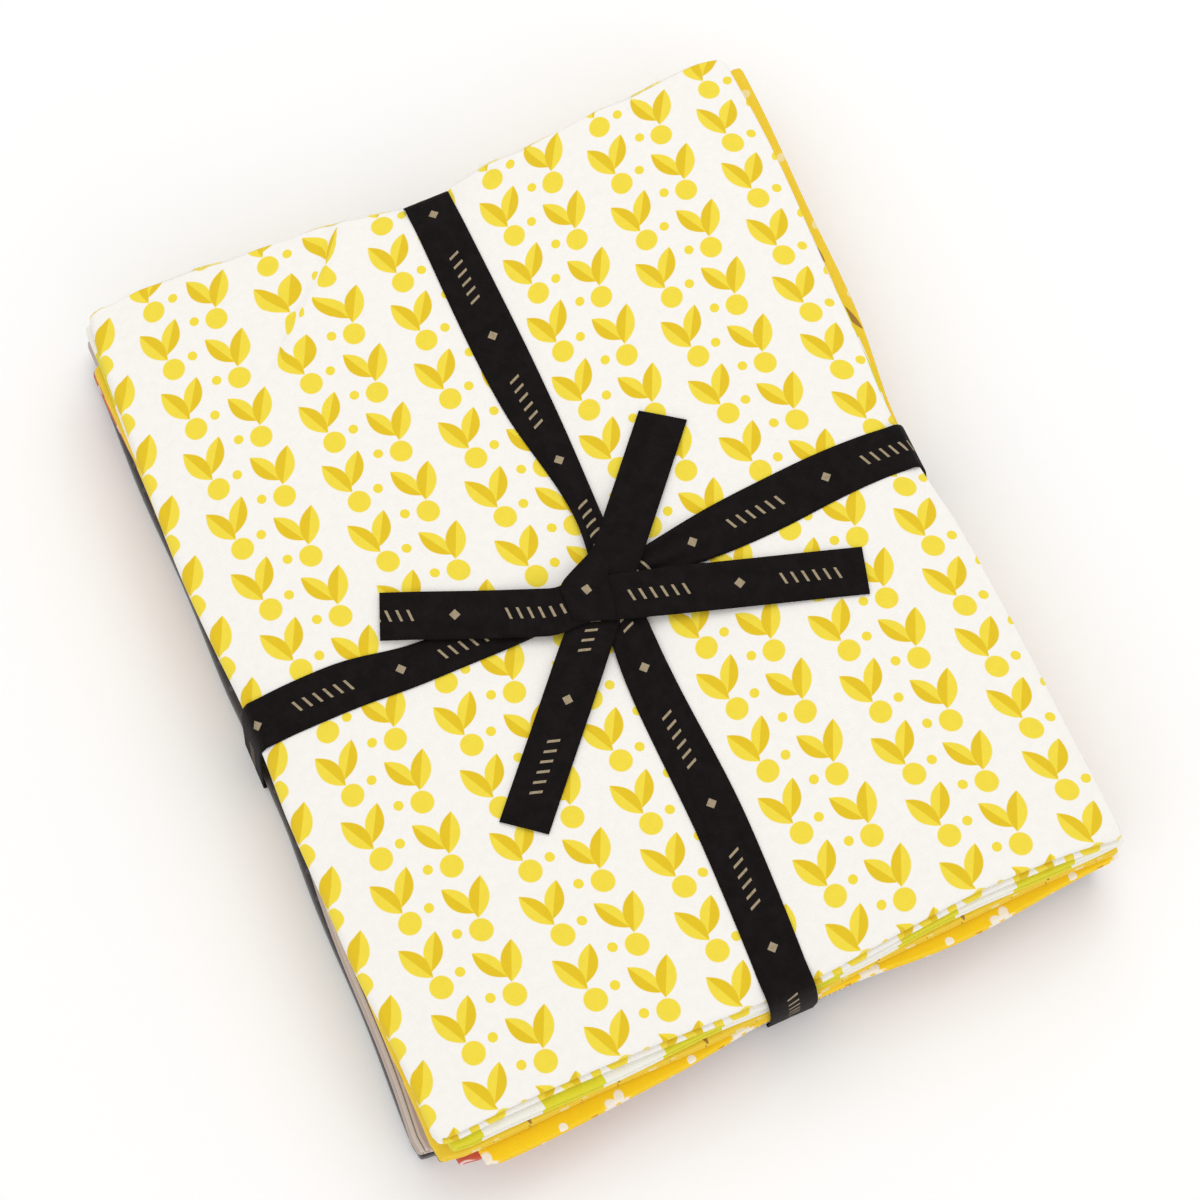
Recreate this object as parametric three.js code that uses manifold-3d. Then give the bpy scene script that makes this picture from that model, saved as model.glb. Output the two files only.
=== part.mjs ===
// A bundle of seven cotton fat quarters, each folded in half twice, stacked and tied both ways with ribbon.
// Millimetres. X runs along the short near edge, Y from the near edge to the far edge, Z up.
import * as THREE from "three";
import Module from "manifold-3d";

const wasm = await Module();
wasm.setup();
const { Manifold, Mesh } = wasm;

// Folded outline of the top quarter: folds at the left and near edges, raw edges at the right and far edges.
const FOLD_WIDTH = 218;
const FOLD_LENGTH = 280;

// Puts the middle of the whole bundle's outline over the origin.
const BUNDLE_SHIFT = { x: 0.62, y: 1.36 };

// Cloth layers, four to a quarter. The upper layers stop a little short at the raw edges.
const SHEET = 1.0;
const LAYER_GAP = 0.2;
const PIECE_GAP = 0.4;
const LAYERS = 4;
const LAYER_PITCH = SHEET + LAYER_GAP;
const PIECE_HEIGHT = LAYERS * SHEET + (LAYERS - 1) * LAYER_GAP;
const PIECE_PITCH = PIECE_HEIGHT + PIECE_GAP;
const RAW_STAGGER = 0.9;
const LEFT_FOLD_STEPS = 4;
const NEAR_FOLD_STEPS = 3;

// The stack is loose between the ribbons and drawn tight under them, and its top falls off towards the edges.
const LOOSE_HEIGHT = 38.6;
const TOP_PRESS = 0.7;
const RAW_EDGE_DROOP = 1.2;
const FOLD_EDGE_DROOP = 0.6;
const DROOP_REACH = 22;

// Ribbon, and the lanes of cloth under it.
const RIBBON_WIDTH = 15;
const RIBBON_THICK = 1.0;
const RIBBON_GAP = 0.3;
const RIBBON_CORNER = 1.2;
const RIBBON_COLOR = 0x1b1718;
const CLEAR = 0.45;
const LANE_X = 2;
const LANE_Y = -5;
const LANE_HALF = 9.5;
const GROOVE = RIBBON_THICK + RIBBON_GAP;
const GROOVE_REACH = 26;
const PRESS_REACH = 60;

// How each ribbon comes down the four sides: how far out it is at shares of the stack's height.
const DROP = {
  left: { rise: [1, 0.24, 0], out: [112.3, 114.6, 115.3] },
  right: { rise: [1, 0.66, 0], out: [106.3, 109, 107.6] },
  near: { rise: [1, 0.78, 0.52, 0], out: [139.6, 142.4, 143.3, 141.8] },
  far: { rise: [1, 0.4, 0], out: [135.9, 136.2, 136.6] },
};

// How far each ribbon strays from the middle of its lane on top, at places along it.
const SWAY = {
  long: { at: [-140, -88, -30, -5, 12, 60, 133], by: [-1.4, 0.9, 0.2, 2.2, 4, 1.7, 0.6] },
  cross: { at: [-112, -80, -61, 0, 37, 57, 79, 105], by: [1.3, 1.4, -0.8, -1, 1, 1.9, 3.3, 3.3] },
};

// Grid lines between the edges, shared by every quarter so that the layers keep their gaps.
const LANE_LINES = [-GROOVE_REACH, -LANE_HALF, LANE_HALF, GROOVE_REACH];
const X_LINES = [-90, -56, ...LANE_LINES.map((step) => LANE_X + step), 60, 101];
const Y_LINES = [-118, -86, -56, ...LANE_LINES.map((step) => LANE_Y + step), 50, 116];

// Edges of the top quarter: how far out each is at places along it.
const TOP_EDGES = {
  left: {
    at: [-140, -110, -85, -65, -30, -14.5, 4.5, 25, 47, 75, 100, 128, 140],
    by: [110.1, 110.6, 112.2, 112.5, 112.9, 112.3, 112.3, 113.4, 114.1, 113.4, 112.2, 110.8, 109.4],
  },
  right: {
    at: [-140, -110, -75, -55, -31, -14.5, 4.5, 18, 30, 60, 85, 115, 140],
    by: [109.2, 109.2, 109, 108.5, 107.6, 106.3, 105.4, 105, 105.8, 107.3, 108.6, 109.6, 109.2],
  },
  near: {
    at: [-109, -84, -60, -40, -28, -7.5, 11.5, 28, 40, 62, 80, 97, 109],
    by: [138.6, 137.8, 138, 138.6, 139, 139.4, 139.4, 138.4, 137.5, 136.2, 136.4, 137.3, 138.9],
  },
  far: {
    at: [-109, -80, -60, -40, -22, -7.5, 11.5, 20, 30, 50, 65, 80, 98, 109],
    by: [140.8, 140.8, 139.6, 138.2, 137, 135.8, 135.8, 136.8, 137.3, 138.5, 139.4, 140.4, 142.8, 141.3],
  },
};

// Quarters from the foot up. Each edge column is how far that edge reaches past the folded outline: at its
// low end, a third of the way out from the ribbon, under the ribbon, a third of the way out again, and at its
// high end. Low is near for the left and right edges, and left for the near and far edges.
const QUARTERS = [
  {
    name: "black",
    color: 0x1d181e,
    left: [7.4, 6.4, 5.8, 6.3, 6.6],
    right: [-3, -3, -3.4, -2, -1],
    near: [-2.6, 0, 1.2, 0, -1],
    far: [-2.5, -5, -6.6, -4, -3],
  },
  {
    name: "cream",
    color: 0xe4dace,
    left: [7.3, 4.7, 3, 3.5, 4.2],
    right: [-2, -2, -3.4, -1, 0],
    near: [-3.4, 0, 1.6, 1, 0],
    far: [6, -2, -6.6, -3, -1],
  },
  {
    name: "coral",
    color: 0xd96a52,
    left: [-1.8, 1, 1, 3, 6.2],
    right: [0, -1, -3, -2, -2],
    near: [4.4, 3.6, 2.1, 1.5, 0.8],
    far: [-8, -7, -6.6, -4, -2],
  },
  {
    name: "gold",
    color: 0xf3c317,
    left: [-9.2, -3, 0, 1, 2],
    right: [1.2, -1, -2.5, 1, 2.5],
    near: [8.6, 6.5, 2.6, 4.4, 1.6],
    far: [-2, -4, -6.4, -3, 0],
  },
  {
    name: "mustard",
    color: 0xcf9f35,
    left: [3, 2.2, 1.5, 4.2, 5.2],
    right: [0.5, 0, -0.5, 3.5, 6.3],
    near: [2.8, 2.8, 2, 0.4, 0.4],
    far: [-12, -7, -6.4, -3, 0.6],
  },
  {
    name: "citron",
    color: 0xd3d33a,
    left: [-2, 2.4, 2, 3.3, 3.3],
    right: [1.2, 0, -3.2, -0.2, 1.4],
    near: [2.1, 1.4, 0.9, -0.4, -1.2],
    far: [0, -2, -6, -2, -0.4],
  },
  { name: "dots", color: 0xf6f0d2, edges: TOP_EDGES },
];
const EDGE_WAVE = 0.4;
const WAVE_LENGTH = 74;
const TIGHT_HEIGHT = QUARTERS.length * PIECE_PITCH - PIECE_GAP;

// Levels in the knot over the lowest band: the other band's step, and the two pairs of free ends.
const KNOT = { width: 14, step: RIBBON_THICK + RIBBON_GAP, long: 2.1, cross: 3.46 };
const BAND_AT_KNOT = 10;

// Free ends: where each starts inside the knot, its bearing in degrees, and how high it runs at a reach from
// that start.
const TAILS = {
  up: { x: 0, y: -9, bearing: 48.5, reach: [10, 22, 36, 60.7], level: [KNOT.long, KNOT.long, 1.4, 0.4] },
  down: { x: 0, y: -9, bearing: 228.1, reach: [10, 22, 40, 75.6], level: [KNOT.long, KNOT.long, 1.1, 0.2] },
  left: { x: 0, y: -15, bearing: 157.4, reach: [12, 20, 34, 69], level: [KNOT.cross, KNOT.cross, 2.3, 1.4] },
  right: { x: 0, y: -10.5, bearing: -17, reach: [12, 20, 34, 79], level: [KNOT.cross, KNOT.cross, 2.2, 0.6] },
};

// Turns of the crosswise ribbon at the two sides of the knot.
const KNOT_TURNS = [
  { x: -10.5, y: -4, side: -1, width: 6.6 },
  { x: 13.5, y: -8.4, side: 1, width: 4.4 },
];
const TURN_STEPS = 6;

const { lerp, smoothstep, degToRad } = THREE.MathUtils;

// 1 under a ribbon, easing to 0 at the given reach from its middle.
function under(distance, reach) {
  return 1 - smoothstep(Math.abs(distance), LANE_HALF, reach);
}

// Value of a table at a place along it, straight between its rows.
function between({ at, by }, along) {
  const k = THREE.MathUtils.clamp(at.findLastIndex((place) => place <= along), 0, at.length - 2);
  return lerp(by[k], by[k + 1], THREE.MathUtils.clamp((along - at[k]) / (at[k + 1] - at[k]), 0, 1));
}

// Height of the stack's underside at a place: flat, with a groove for each ribbon.
function footAt(x, y) {
  return GROOVE * (under(x - LANE_X, GROOVE_REACH) + under(y - LANE_Y, GROOVE_REACH));
}

// Height of the stack's top at a place.
function crownAt(x, y) {
  const droop = (inside, depth) => depth * (1 - smoothstep(inside, 0, DROOP_REACH));
  const pressed = TOP_PRESS * (under(x - LANE_X, PRESS_REACH) + under(y - LANE_Y, PRESS_REACH));
  const raw = droop(FOLD_WIDTH / 2 - x, RAW_EDGE_DROOP) + droop(FOLD_LENGTH / 2 - y, RAW_EDGE_DROOP);
  const folded = droop(FOLD_WIDTH / 2 + x, FOLD_EDGE_DROOP) + droop(FOLD_LENGTH / 2 + y, FOLD_EDGE_DROOP);
  return LOOSE_HEIGHT - pressed - raw - folded;
}

// A quarter's four edges, each straight under the ribbon and turning a third of the way to its two ends.
function edgesOf(row, index) {
  const edge = (side, sign, half, length, lane) => (along) => {
    if (row.edges) {
      return sign * between(row.edges[side], along);
    }
    const [lowEnd, lowThird, middle, highThird, highEnd] = row[side];
    const [low, high] = [lane - LANE_HALF, lane + LANE_HALF];
    const [start, end] = [-length / 2, length / 2];
    const at = [start, lerp(low, start, 1 / 3), low, high, lerp(high, end, 1 / 3), end];
    const wave = EDGE_WAVE * Math.sin((2 * Math.PI * along) / WAVE_LENGTH + index * index);
    const past = between({ at, by: [lowEnd, lowThird, middle, middle, highThird, highEnd] }, along);
    return sign * (half + past + wave * (1 - under(along - lane, GROOVE_REACH)));
  };
  return {
    left: edge("left", -1, FOLD_WIDTH / 2, FOLD_LENGTH, LANE_Y),
    right: edge("right", 1, FOLD_WIDTH / 2, FOLD_LENGTH, LANE_Y),
    near: edge("near", -1, FOLD_LENGTH / 2, FOLD_WIDTH, LANE_X),
    far: edge("far", 1, FOLD_LENGTH / 2, FOLD_WIDTH, LANE_X),
  };
}

// Stations of a sheet folded in half: from the raw edge to the fold, round it as turn runs to 1, and back.
function foldedStations(lines, steps) {
  const raw = lines.length;
  const inward = [raw, ...lines.keys()].sort((a, b) => b - a);
  const turns = Array.from({ length: steps + 1 }, (_, k) => ({ line: -1, turn: k / steps }));
  return [
    ...inward.map((line) => ({ line, turn: 0 })),
    ...turns,
    ...inward.reverse().map((line) => ({ line, turn: 1 })),
  ];
}

function meshGeometry(positions, index) {
  const geometry = new THREE.BufferGeometry();
  geometry.setAttribute("position", new THREE.Float32BufferAttribute(positions, 3));
  geometry.setIndex(index);
  return geometry;
}

// A closed sheet: two faces over one grid of points, and a rim round the grid.
function closedSheet(rows, columns, point) {
  const positions = [];
  for (const face of [1, -1]) {
    for (let i = 0; i < rows; i += 1) {
      for (let j = 0; j < columns; j += 1) {
        positions.push(...point(i, j, face));
      }
    }
  }
  const upper = (i, j) => i * columns + j;
  const lower = (i, j) => rows * columns + upper(i, j);
  const index = [];
  const quad = (a, b, c, d) => index.push(a, b, c, a, c, d);
  for (let i = 0; i + 1 < rows; i += 1) {
    for (let j = 0; j + 1 < columns; j += 1) {
      quad(upper(i, j), upper(i, j + 1), upper(i + 1, j + 1), upper(i + 1, j));
      quad(lower(i, j), lower(i + 1, j), lower(i + 1, j + 1), lower(i, j + 1));
    }
  }
  const rim = [];
  for (let i = 0; i + 1 < rows; i += 1) {
    rim.push([i, 0]);
  }
  for (let j = 0; j + 1 < columns; j += 1) {
    rim.push([rows - 1, j]);
  }
  for (let i = rows - 1; i > 0; i -= 1) {
    rim.push([i, columns - 1]);
  }
  for (let j = columns - 1; j > 0; j -= 1) {
    rim.push([0, j]);
  }
  rim.forEach((here, k) => {
    const next = rim[(k + 1) % rim.length];
    quad(upper(...here), upper(...next), lower(...next), lower(...here));
  });
  return meshGeometry(positions, index);
}

// A quarter: two layers joined at the near fold, and that pair turned back over itself at the left fold.
function quarter(row, index) {
  const edges = edgesOf(row, index);
  const across = foldedStations(X_LINES, LEFT_FOLD_STEPS);
  const along = foldedStations(Y_LINES, NEAR_FOLD_STEPS);
  const middle = index * PIECE_PITCH + PIECE_HEIGHT / 2;
  const leftReach = PIECE_HEIGHT / 2;
  const nearReach = (LAYER_PITCH + SHEET) / 2;
  const onLine = ({ line, turn }, lines, fold, raw) => {
    if (line < 0) {
      return fold;
    }
    return line < lines.length ? lines[line] : raw - RAW_STAGGER * turn;
  };
  const point = (i, j, face) => {
    const a = across[i];
    const b = along[j];
    const squareX = onLine(a, X_LINES, -FOLD_WIDTH / 2, FOLD_WIDTH / 2);
    const squareY = onLine(b, Y_LINES, -FOLD_LENGTH / 2, FOLD_LENGTH / 2);
    const flatX = onLine(a, X_LINES, edges.left(squareY) + leftReach, edges.right(squareY));
    const flatY = onLine(b, Y_LINES, edges.near(squareX) + nearReach, edges.far(squareX));
    const inner = (LAYER_PITCH + face * SHEET) / 2;
    const outer = LAYER_PITCH + inner * Math.cos(Math.PI * b.turn);
    const x = flatX - outer * Math.sin(Math.PI * a.turn);
    const y = flatY - inner * Math.sin(Math.PI * b.turn);
    const level = middle - outer * Math.cos(Math.PI * a.turn);
    return [x, y, lerp(footAt(x, y), crownAt(x, y), level / TIGHT_HEIGHT)];
  };
  return closedSheet(across.length, along.length, point);
}

// A flat ribbon through stations, each with its middle, its direction across and its width.
function strip(stations, closed) {
  const count = stations.length;
  const neighbour = (k) => stations[closed ? (k + count) % count : THREE.MathUtils.clamp(k, 0, count - 1)];
  const positions = [];
  stations.forEach(({ middle, across, width }, k) => {
    const entering = middle.clone().sub(neighbour(k - 1).middle).normalize();
    const leaving = neighbour(k + 1).middle.clone().sub(middle).normalize();
    const ahead = entering.clone().add(leaving).normalize();
    const bend = Math.max(ahead.dot(entering), ahead.dot(leaving));
    const up = ahead.cross(across).setLength(RIBBON_THICK / 2 / bend);
    const half = across.clone().multiplyScalar(width / 2);
    const corners = [half.clone().add(up), up.clone().sub(half)];
    corners.push(...corners.map((corner) => corner.clone().negate()));
    corners.forEach((corner) => positions.push(...corner.add(middle).toArray()));
  });
  const corners = [0, 1, 2, 3];
  const at = (k, corner) => (k % count) * corners.length + (corner % corners.length);
  const index = [];
  const quad = (a, b, c, d) => index.push(a, b, c, a, c, d);
  for (let k = 0; k < (closed ? count : count - 1); k += 1) {
    corners.forEach((c) => quad(at(k, c), at(k, c + 1), at(k + 1, c + 1), at(k + 1, c)));
  }
  if (!closed) {
    quad(...corners.map((c) => at(0, c)).reverse());
    quad(...corners.map((c) => at(count - 1, c)));
  }
  return meshGeometry(positions, index);
}

// Rounds the marked corners of a closed path in a vertical plane.
function rounded(path) {
  return path.flatMap((spot, k) => {
    if (!spot.corner) {
      return [spot];
    }
    const toward = (other) => {
      const share = RIBBON_CORNER / Math.hypot(other.along - spot.along, other.z - spot.z);
      return { ...spot, along: lerp(spot.along, other.along, share), z: lerp(spot.z, other.z, share) };
    };
    const before = toward(path.at(k - 1));
    const after = toward(path[(k + 1) % path.length]);
    const along = lerp(spot.along, (before.along + after.along) / 2, 0.5);
    const z = lerp(spot.z, (before.z + after.z) / 2, 0.5);
    return [before, { ...spot, along, z }, after];
  });
}

// The band of a ribbon round the stack, from its low side over the top to its high side and back underneath.
// It narrows to the knot, and steps up where it passes over the other ribbon.
function band({ low, high, lines, cross, lane, sway, stepTop, stepFoot, place, across }) {
  const half = RIBBON_THICK / 2;
  const outside = CLEAR + half;
  const crossing = (along) => under(along - cross, GROOVE_REACH);
  const onTop = (along) => {
    const aside = lane + between(sway, along);
    const width = lerp(RIBBON_WIDTH, BAND_AT_KNOT, under(along - cross, PRESS_REACH));
    return { along, aside, z: crownAt(...place(along, aside)) + outside + stepTop * crossing(along), width };
  };
  const inFoot = (along) => {
    return { along, aside: lane, z: half + stepFoot * crossing(along), width: RIBBON_WIDTH };
  };
  const down = (side, sign) => {
    const { rise, out } = DROP[side];
    return rise.map((share, k) => {
      const along = sign * out[k];
      const [upper, lower] = [onTop(along), inFoot(along)];
      const aside = lerp(lower.aside, upper.aside, share);
      const z = lerp(lower.z, upper.z, share);
      return { along: along + sign * outside, aside, z, width: RIBBON_WIDTH, corner: true };
    });
  };
  const run = [...lines, cross].sort((a, b) => a - b);
  const path = [
    ...run.map(onTop),
    ...down(high, 1),
    ...run.reverse().map(inFoot),
    ...down(low, -1).reverse(),
  ];
  const stations = rounded(path).map(({ along, aside, z, width }) => {
    return { middle: new THREE.Vector3(...place(along, aside), z), across, width };
  });
  return strip(stations, true);
}

// Two free ends in one run across the knot, each falling from the knot to the cloth.
function freeEnds(first, second) {
  const station = (tail) => (reach, k) => {
    const x = tail.x + reach * Math.cos(degToRad(tail.bearing));
    const y = tail.y + reach * Math.sin(degToRad(tail.bearing));
    const z = crownAt(x, y) + CLEAR + RIBBON_THICK / 2 + tail.level[k];
    const width = lerp(KNOT.width, RIBBON_WIDTH, smoothstep(reach, 0, GROOVE_REACH));
    return { middle: new THREE.Vector3(x, y, z), width };
  };
  const coming = first.reach.map(station(first)).reverse();
  const going = second.reach.map(station(second));
  const stations = [...coming, ...going];
  stations.forEach((here, k) => {
    const before = stations[Math.max(k - 1, 0)].middle;
    const after = stations[Math.min(k + 1, stations.length - 1)].middle;
    here.across = new THREE.Vector3(after.y - before.y, before.x - after.x, 0).normalize();
  });
  return strip(stations, false);
}

// A turn of the crosswise ribbon at one side of the knot, from its band up to its free ends.
function knotTurn({ x, y, side, width }) {
  const radius = KNOT.cross / 2;
  const centre = crownAt(x, y) + CLEAR + RIBBON_THICK / 2 + radius;
  const stations = Array.from({ length: TURN_STEPS + 1 }, (_, k) => {
    const angle = Math.PI * (k / TURN_STEPS - 0.5);
    const out = x + side * radius * Math.cos(angle);
    const middle = new THREE.Vector3(out, y, centre + radius * Math.sin(angle));
    return { middle, across: new THREE.Vector3(0, -side, 0), width };
  });
  return strip(stations, false);
}

// Joins the runs of one ribbon into one solid.
function joined(runs) {
  const solids = runs.map((run) => {
    const vertProperties = new Float32Array(run.getAttribute("position").array);
    return new Manifold(new Mesh({ numProp: 3, vertProperties, triVerts: new Uint32Array(run.index.array) }));
  });
  const mesh = Manifold.union(solids).getMesh();
  return meshGeometry(mesh.vertProperties, Array.from(mesh.triVerts));
}

const ribbonLong = joined([
  band({
    low: "near",
    high: "far",
    lines: Y_LINES,
    cross: LANE_Y,
    lane: LANE_X,
    sway: SWAY.long,
    stepTop: KNOT.step,
    stepFoot: 0,
    place: (along, aside) => [aside, along],
    across: new THREE.Vector3(1, 0, 0),
  }),
  freeEnds(TAILS.up, TAILS.down),
]);
const ribbonCross = joined([
  band({
    low: "left",
    high: "right",
    lines: X_LINES,
    cross: LANE_X,
    lane: LANE_Y,
    sway: SWAY.cross,
    stepTop: 0,
    stepFoot: KNOT.step,
    place: (along, aside) => [along, aside],
    across: new THREE.Vector3(0, -1, 0),
  }),
  freeEnds(TAILS.left, TAILS.right),
  ...KNOT_TURNS.map(knotTurn),
]);

const bundle = new THREE.Group();
bundle.name = "fat_quarter_bundle";
bundle.position.set(BUNDLE_SHIFT.x, BUNDLE_SHIFT.y, 0);

function addPiece(name, geometry, color) {
  const material = new THREE.MeshStandardMaterial({ color, roughness: 0.9, metalness: 0 });
  const mesh = new THREE.Mesh(geometry, material);
  mesh.name = name;
  bundle.add(mesh);
}

QUARTERS.forEach((row, index) => addPiece(`quarter_${row.name}`, quarter(row, index), row.color));
addPiece("ribbon_long", ribbonLong, RIBBON_COLOR);
addPiece("ribbon_cross", ribbonCross, RIBBON_COLOR);

export default bundle;
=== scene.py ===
# Seven cotton fat quarters, each folded in half twice, stacked and tied both ways with woven tape.
import math

import bmesh
import bpy
import numpy as np
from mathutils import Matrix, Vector


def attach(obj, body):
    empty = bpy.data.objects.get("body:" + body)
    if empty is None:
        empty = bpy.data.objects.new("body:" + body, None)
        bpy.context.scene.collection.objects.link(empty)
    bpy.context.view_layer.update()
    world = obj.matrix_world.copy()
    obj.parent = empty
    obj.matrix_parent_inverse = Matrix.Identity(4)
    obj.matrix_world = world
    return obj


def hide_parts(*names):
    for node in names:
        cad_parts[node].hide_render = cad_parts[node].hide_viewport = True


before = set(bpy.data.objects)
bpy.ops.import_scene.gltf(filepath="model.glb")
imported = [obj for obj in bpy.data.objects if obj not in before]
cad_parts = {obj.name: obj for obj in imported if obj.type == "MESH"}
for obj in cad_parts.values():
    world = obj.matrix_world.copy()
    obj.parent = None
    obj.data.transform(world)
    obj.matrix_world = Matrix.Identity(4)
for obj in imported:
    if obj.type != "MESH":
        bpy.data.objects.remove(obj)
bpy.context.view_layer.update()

# All sizes are millimetres in the bundle's own frame until a mesh is made. The shift puts the bundle's middle
# over the origin.
MM = 0.001
BUNDLE_SHIFT = np.array([0.62, 1.36, 0.0])

# Folded outline and layers of a quarter: folds at the left and near edges, raw edges at the right and far
# ones. The flat cut is in metres. The solids' sheets are thicker than the cloth and turn at the same folds.
FOLD_WIDTH = 218.0
FOLD_LENGTH = 280.0
FLAT_CUT = (0.436, 0.56)
CLOTH_THICK = 0.7
SOLID_SHEET = 1.0
LAYER_PITCH = 1.2
PIECE_HEIGHT = 4.6
PIECE_PITCH = 5.0
RIGHT_STAGGER = 0.5
FAR_STAGGER = 0.9
CORNER_RADIUS = 2.2
CORNER_INSET = 0.29 * CORNER_RADIUS

# Ragged far edges: a long and a short wave along the edge, shifted from layer to layer.
FRAY = 0.35
FRAY_LONG = 8.0
FRAY_SHORT = 3.1
FRAY_SHORT_SHARE = 0.6
FRAY_LAYER_SHIFT = 5.0

# Mesh steps: over the top of the stack, elsewhere, beside a raw edge and round the folds.
TOP_STEP = 1.7
HIDDEN_STEP = 5.0
RAW_EDGE_STEPS = np.array([0, 0.4, 1.3])
LEFT_FOLD_STEPS = 8
NEAR_FOLD_STEPS = 6

# Shape of the stack: loose between the tapes, drawn tight under them, falling off towards the edges.
LOOSE_HEIGHT = 38.6
TOP_PRESS = 0.7
PRESS_REACH = 60.0
RAW_EDGE_DROOP = 1.2
FOLD_EDGE_DROOP = 0.6
DROOP_REACH = 22.0
LANE_X = 2.0
LANE_Y = -5.0
LANE_HALF = 9.5
GROOVE = 0.7
GROOVE_REACH = 26.0
EDGE_WAVE = 0.4
WAVE_LENGTH = 74.0
EDGE_REACH = {"left": 19.0, "right": 17.0, "near": 22.0, "far": 24.0}

# How each tape comes down the four sides: how far out it is at shares of the stack's height.
DROP = {
    "left": {"rise": (1, 0.24, 0), "out": (112.3, 114.6, 115.3)},
    "right": {"rise": (1, 0.66, 0), "out": (106.3, 109, 107.6)},
    "near": {"rise": (1, 0.78, 0.52, 0), "out": (139.6, 142.4, 143.3, 141.8)},
    "far": {"rise": (1, 0.4, 0), "out": (135.9, 136.2, 136.6)},
}

# Edges of the top quarter: how far out each is at places along it.
TOP_EDGES = {
    "left": {
        "at": (-140, -110, -85, -65, -30, -14.5, 4.5, 25, 47, 75, 100, 128, 140),
        "by": (110.1, 110.6, 112.2, 112.5, 112.9, 112.3, 112.3, 113.4, 114.1, 113.4, 112.2, 110.8, 109.4),
    },
    "right": {
        "at": (-140, -110, -75, -55, -31, -14.5, 4.5, 18, 30, 60, 85, 115, 140),
        "by": (109.2, 109.2, 109, 108.5, 107.6, 106.3, 105.4, 105, 105.8, 107.3, 108.6, 109.6, 109.2),
    },
    "near": {
        "at": (-109, -84, -60, -40, -28, -7.5, 11.5, 28, 40, 62, 80, 97, 109),
        "by": (138.6, 137.8, 138, 138.6, 139, 139.4, 139.4, 138.4, 137.5, 136.2, 136.4, 137.3, 138.9),
    },
    "far": {
        "at": (-109, -80, -60, -40, -22, -7.5, 11.5, 20, 30, 50, 65, 80, 98, 109),
        "by": (140.8, 140.8, 139.6, 138.2, 137, 135.8, 135.8, 136.8, 137.3, 138.5, 139.4, 140.4, 142.8,
               141.3),
    },
}

# Quarters from the foot up. The edge columns are how far an edge reaches past the folded outline at its low
# end, a third of the way out from the tape, under the tape, a third of the way out again and at its high end.
# Rim is how far the lower near fold stands out past the upper one.
QUARTERS = [
    {"name": "black", "rim": 0,
     "left": (7.4, 6.4, 5.8, 6.3, 6.6), "right": (-3, -3, -3.4, -2, -1),
     "near": (-2.6, 0, 1.2, 0, -1), "far": (-2.5, -5, -6.6, -4, -3)},
    {"name": "cream", "rim": 0.4,
     "left": (7.3, 4.7, 3, 3.5, 4.2), "right": (-2, -2, -3.4, -1, 0),
     "near": (-3.4, 0, 1.6, 1, 0), "far": (6, -2, -6.6, -3, -1)},
    {"name": "coral", "rim": 0,
     "left": (-1.8, 1, 1, 3, 6.2), "right": (0, -1, -3, -2, -2),
     "near": (4.4, 3.6, 2.1, 1.5, 0.8), "far": (-8, -7, -6.6, -4, -2)},
    {"name": "gold", "rim": 0.2,
     "left": (-9.2, -3, 0, 1, 2), "right": (1.2, -1, -2.5, 1, 2.5),
     "near": (8.6, 6.5, 2.6, 4.4, 1.6), "far": (-2, -4, -6.4, -3, 0)},
    {"name": "mustard", "rim": 0.3,
     "left": (3, 2.2, 1.5, 4.2, 5.2), "right": (0.5, 0, -0.5, 3.5, 6.8),
     "near": (2.8, 2.8, 2, 0.4, 0.4), "far": (-12, -7, -6.4, -3, 1.2)},
    {"name": "citron", "rim": 0.5,
     "left": (-2, 2.4, 2, 3.3, 3.3), "right": (1.2, 0, -3.2, -0.2, 1),
     "near": (2.1, 1.4, 0.9, -0.4, -1.2), "far": (0, -2, -6, -2, -0.8)},
    {"name": "dots", "rim": 1.4, "edges": TOP_EDGES},
]
TIGHT_HEIGHT = len(QUARTERS) * PIECE_PITCH - (PIECE_PITCH - PIECE_HEIGHT)

# The tape bites into the cloth over its flat middle, and rolls the edge over where it goes down the side.
TAPE_BITE = 0.9
BITE_HALF = 6.0
BITE_REACH = 15.0
EDGE_ROLL = 2.8
ROLL_HALF = 7.0
ROLL_REACH = 13.0
ROLL_LIMIT = 1.2

# Soft unevenness of the loose cloth.
RIPPLES = [
    {"height": 0.42, "length": 96, "bearing": 18, "phase": 0.4},
    {"height": 0.34, "length": 71, "bearing": 104, "phase": 2.1},
    {"height": 0.24, "length": 53, "bearing": 61, "phase": 4.0},
    {"height": 0.12, "length": 34, "bearing": 142, "phase": 1.2},
]

# Creases of the top quarter: a line across the cloth, the height of its ridge, the depth of the trough beside
# it, the half width of each and how much of the print it tucks away.
CREASES = [
    {"x": (-26, -36.6, -53.4, -69), "y": (137, 123.8, 109.8, 93),
     "ridge": 1.1, "trough": 0.8, "half": 2.4, "tuck": 3.0},
    {"x": (27, 52, 80), "y": (134, 116, 96), "ridge": 0.5, "trough": 0.4, "half": 3.4, "tuck": 0.0},
    {"x": (-24, -50, -82), "y": (46, 60, 66), "ridge": 0.35, "trough": 0.35, "half": 5.0, "tuck": 0.0},
    {"x": (26, 44, 72), "y": (-44, -76, -98), "ridge": 0.35, "trough": 0.35, "half": 5.0, "tuck": 0.0},
    {"x": (-30, -58, -90), "y": (-52, -78, -92), "ridge": 0.3, "trough": 0.35, "half": 5.0, "tuck": 0.0},
]

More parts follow.
